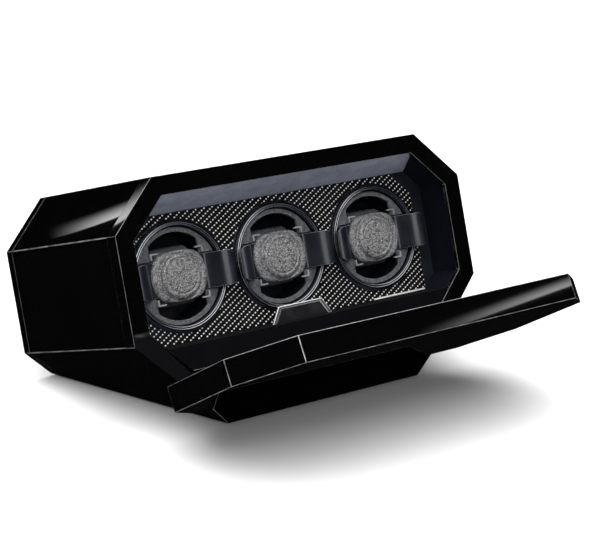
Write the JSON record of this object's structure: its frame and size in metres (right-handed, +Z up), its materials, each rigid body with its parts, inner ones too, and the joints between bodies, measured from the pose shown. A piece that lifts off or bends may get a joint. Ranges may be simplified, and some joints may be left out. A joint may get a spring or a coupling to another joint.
{
  "type": "watch winder box",
  "caption": "Eight-sided lacquered case leaning back on its base, with a fold-down front lid and motor-driven drums that carry pull-out watch holders.",
  "frame": {"origin": "middle of the felt that the box stands on, at the height of the table", "axes": "+Z up, +X to the right seen from the front, +Y towards the back; the lid opens towards -Y"},
  "size_m": [0.4, 0.4431, 0.2291],
  "materials": {
    "badge_blank": "dark and blank",
    "badge_metal": "polished",
    "bearing": "sintered bronze",
    "bezel": "dark navy gloss",
    "black_plastic": "fine spark texture",
    "carbon": "carbon fibre weave under clear lacquer",
    "circuit": "green circuit board with dark chips",
    "cushion": "dark plush",
    "dark_lining": "dark navy lining cloth",
    "drum_panel": "dark navy fine grain",
    "drum_plastic": "dark moulded",
    "drum_ring": "grey satin",
    "fastener": "nickel plated",
    "felt": "black felt",
    "gear": "natural acetal",
    "hinge_metal": "nickel plated",
    "holder_plastic": "dark navy satin",
    "knob_metal": "turned",
    "lacquer": "piano black lacquer polished over fibreboard",
    "lining_cloth": "blue-grey woven lining cloth",
    "medallion": "grey grained leather stretched over a raised disc",
    "motor": "plated can",
    "pad": "grey grained leather",
    "pinion": "machined",
    "plate": "folded sheet",
    "trim_metal": "polished"
  },
  "bodies": {
    "case": {"front_frame": "lacquer", "plinth_board": "lacquer", "top_board": "lacquer", "upper_chamfer_boards": "lacquer", "side_boards": "lacquer", "lower_chamfer_boards": "lacquer", "bottom_board": "lacquer", "rear_board": "lacquer", "base_felt": "felt", "wall_linings": "dark_lining", "ceiling_lining": "lining_cloth", "ledge_lining": "dark_lining", "drum_panel": "drum_panel", "carbon_fascia": "carbon", "bezels": "bezel", "badge_frame": "badge_metal", "badge_blank": "badge_blank", "trim_bar": "trim_metal", "motor_plate": "plate", "shaft_bearings": "bearing", "gearmotors": "motor", "screws": "fastener", "control_board": "circuit", "board_spacers": "pinion", "rear_cover": "black_plastic", "power_inlet": "black_plastic", "mode_switch": "black_plastic", "case_magnets": "fastener", "case_hinge_leaves": "hinge_metal", "hinge_pins": "hinge_metal"},
    "lid": {"lid_panel": "lacquer", "lid_lining": "lining_cloth", "lid_magnets": "fastener", "lid_hinge_leaves": "hinge_metal"},
    "drum left": {"drum_shell_left": "drum_plastic", "drum_face_left": "drum_ring", "drive_gear_left": "gear"},
    "drum centre": {"drum_shell_centre": "drum_plastic", "drum_face_centre": "drum_ring", "drive_gear_centre": "gear"},
    "drum right": {"drum_shell_right": "drum_plastic", "drum_face_right": "drum_ring", "drive_gear_right": "gear"},
    "holder left": {"holder_frame_left": "holder_plastic", "cushion_left": "cushion", "pad_left": "pad", "medallion_left": "medallion"},
    "holder centre": {"holder_frame_centre": "holder_plastic", "cushion_centre": "cushion", "pad_centre": "pad", "medallion_centre": "medallion"},
    "holder right": {"holder_frame_right": "holder_plastic", "cushion_right": "cushion", "pad_right": "pad", "medallion_right": "medallion"},
    "pinion left": {"pinion_left": "pinion"},
    "pinion centre": {"pinion_centre": "pinion"},
    "pinion right": {"pinion_right": "pinion"},
    "knob": {"mode_knob": "knob_metal"},
    "rocker": {"power_rocker": "black_plastic"}
  },
  "joints": [
    {"name": "lid_hinge", "type": "hinge", "parent": "case", "child": "lid", "pos_m": [0, -0.10419, 0.04419], "axis": [1, 0, 0], "range_deg": [-77.2, 0]},
    {"name": "drum_spin_left", "type": "hinge", "parent": "case", "child": "drum left", "pos_m": [-0.1154, -0.03292, 0.12573], "axis": [0, 0.9583, -0.2857], "continuous": true},
    {"name": "drum_spin_centre", "type": "hinge", "parent": "case", "child": "drum centre", "pos_m": [0, -0.03292, 0.12573], "axis": [0, 0.9583, -0.2857], "continuous": true},
    {"name": "drum_spin_right", "type": "hinge", "parent": "case", "child": "drum right", "pos_m": [0.1154, -0.03292, 0.12573], "axis": [0, 0.9583, -0.2857], "continuous": true},
    {"name": "holder_pull_left", "type": "slide", "parent": "drum left", "child": "holder left", "axis": [0, -0.9583, 0.2857], "range_m": [0, 0.055]},
    {"name": "holder_pull_centre", "type": "slide", "parent": "drum centre", "child": "holder centre", "axis": [0, -0.9583, 0.2857], "range_m": [0, 0.055]},
    {"name": "holder_pull_right", "type": "slide", "parent": "drum right", "child": "holder right", "axis": [0, -0.9583, 0.2857], "range_m": [0, 0.055]},
    {"name": "pinion_spin_left", "type": "hinge", "parent": "case", "child": "pinion left", "pos_m": [-0.1154, -0.04367, 0.0897], "axis": [0, 0.9583, -0.2857], "continuous": true},
    {"name": "pinion_spin_centre", "type": "hinge", "parent": "case", "child": "pinion centre", "pos_m": [0, -0.04367, 0.0897], "axis": [0, 0.9583, -0.2857], "continuous": true},
    {"name": "pinion_spin_right", "type": "hinge", "parent": "case", "child": "pinion right", "pos_m": [0.1154, -0.04367, 0.0897], "axis": [0, 0.9583, -0.2857], "continuous": true},
    {"name": "mode_turn", "type": "hinge", "parent": "case", "child": "knob", "pos_m": [0.056, 0.12462, 0.05215], "axis": [0, 0.9583, -0.2857], "range_deg": [-135, 135]},
    {"name": "rocker_press", "type": "hinge", "parent": "case", "child": "rocker", "pos_m": [0, 0.1205, 0.05338], "axis": [1, 0, 0], "range_deg": [-16, 0]}
  ],
  "couplings": [
    {"joint": "pinion_spin_left", "follows": "drum_spin_left", "ratio": -4},
    {"joint": "pinion_spin_centre", "follows": "drum_spin_centre", "ratio": -4},
    {"joint": "pinion_spin_right", "follows": "drum_spin_right", "ratio": -4}
  ]
}
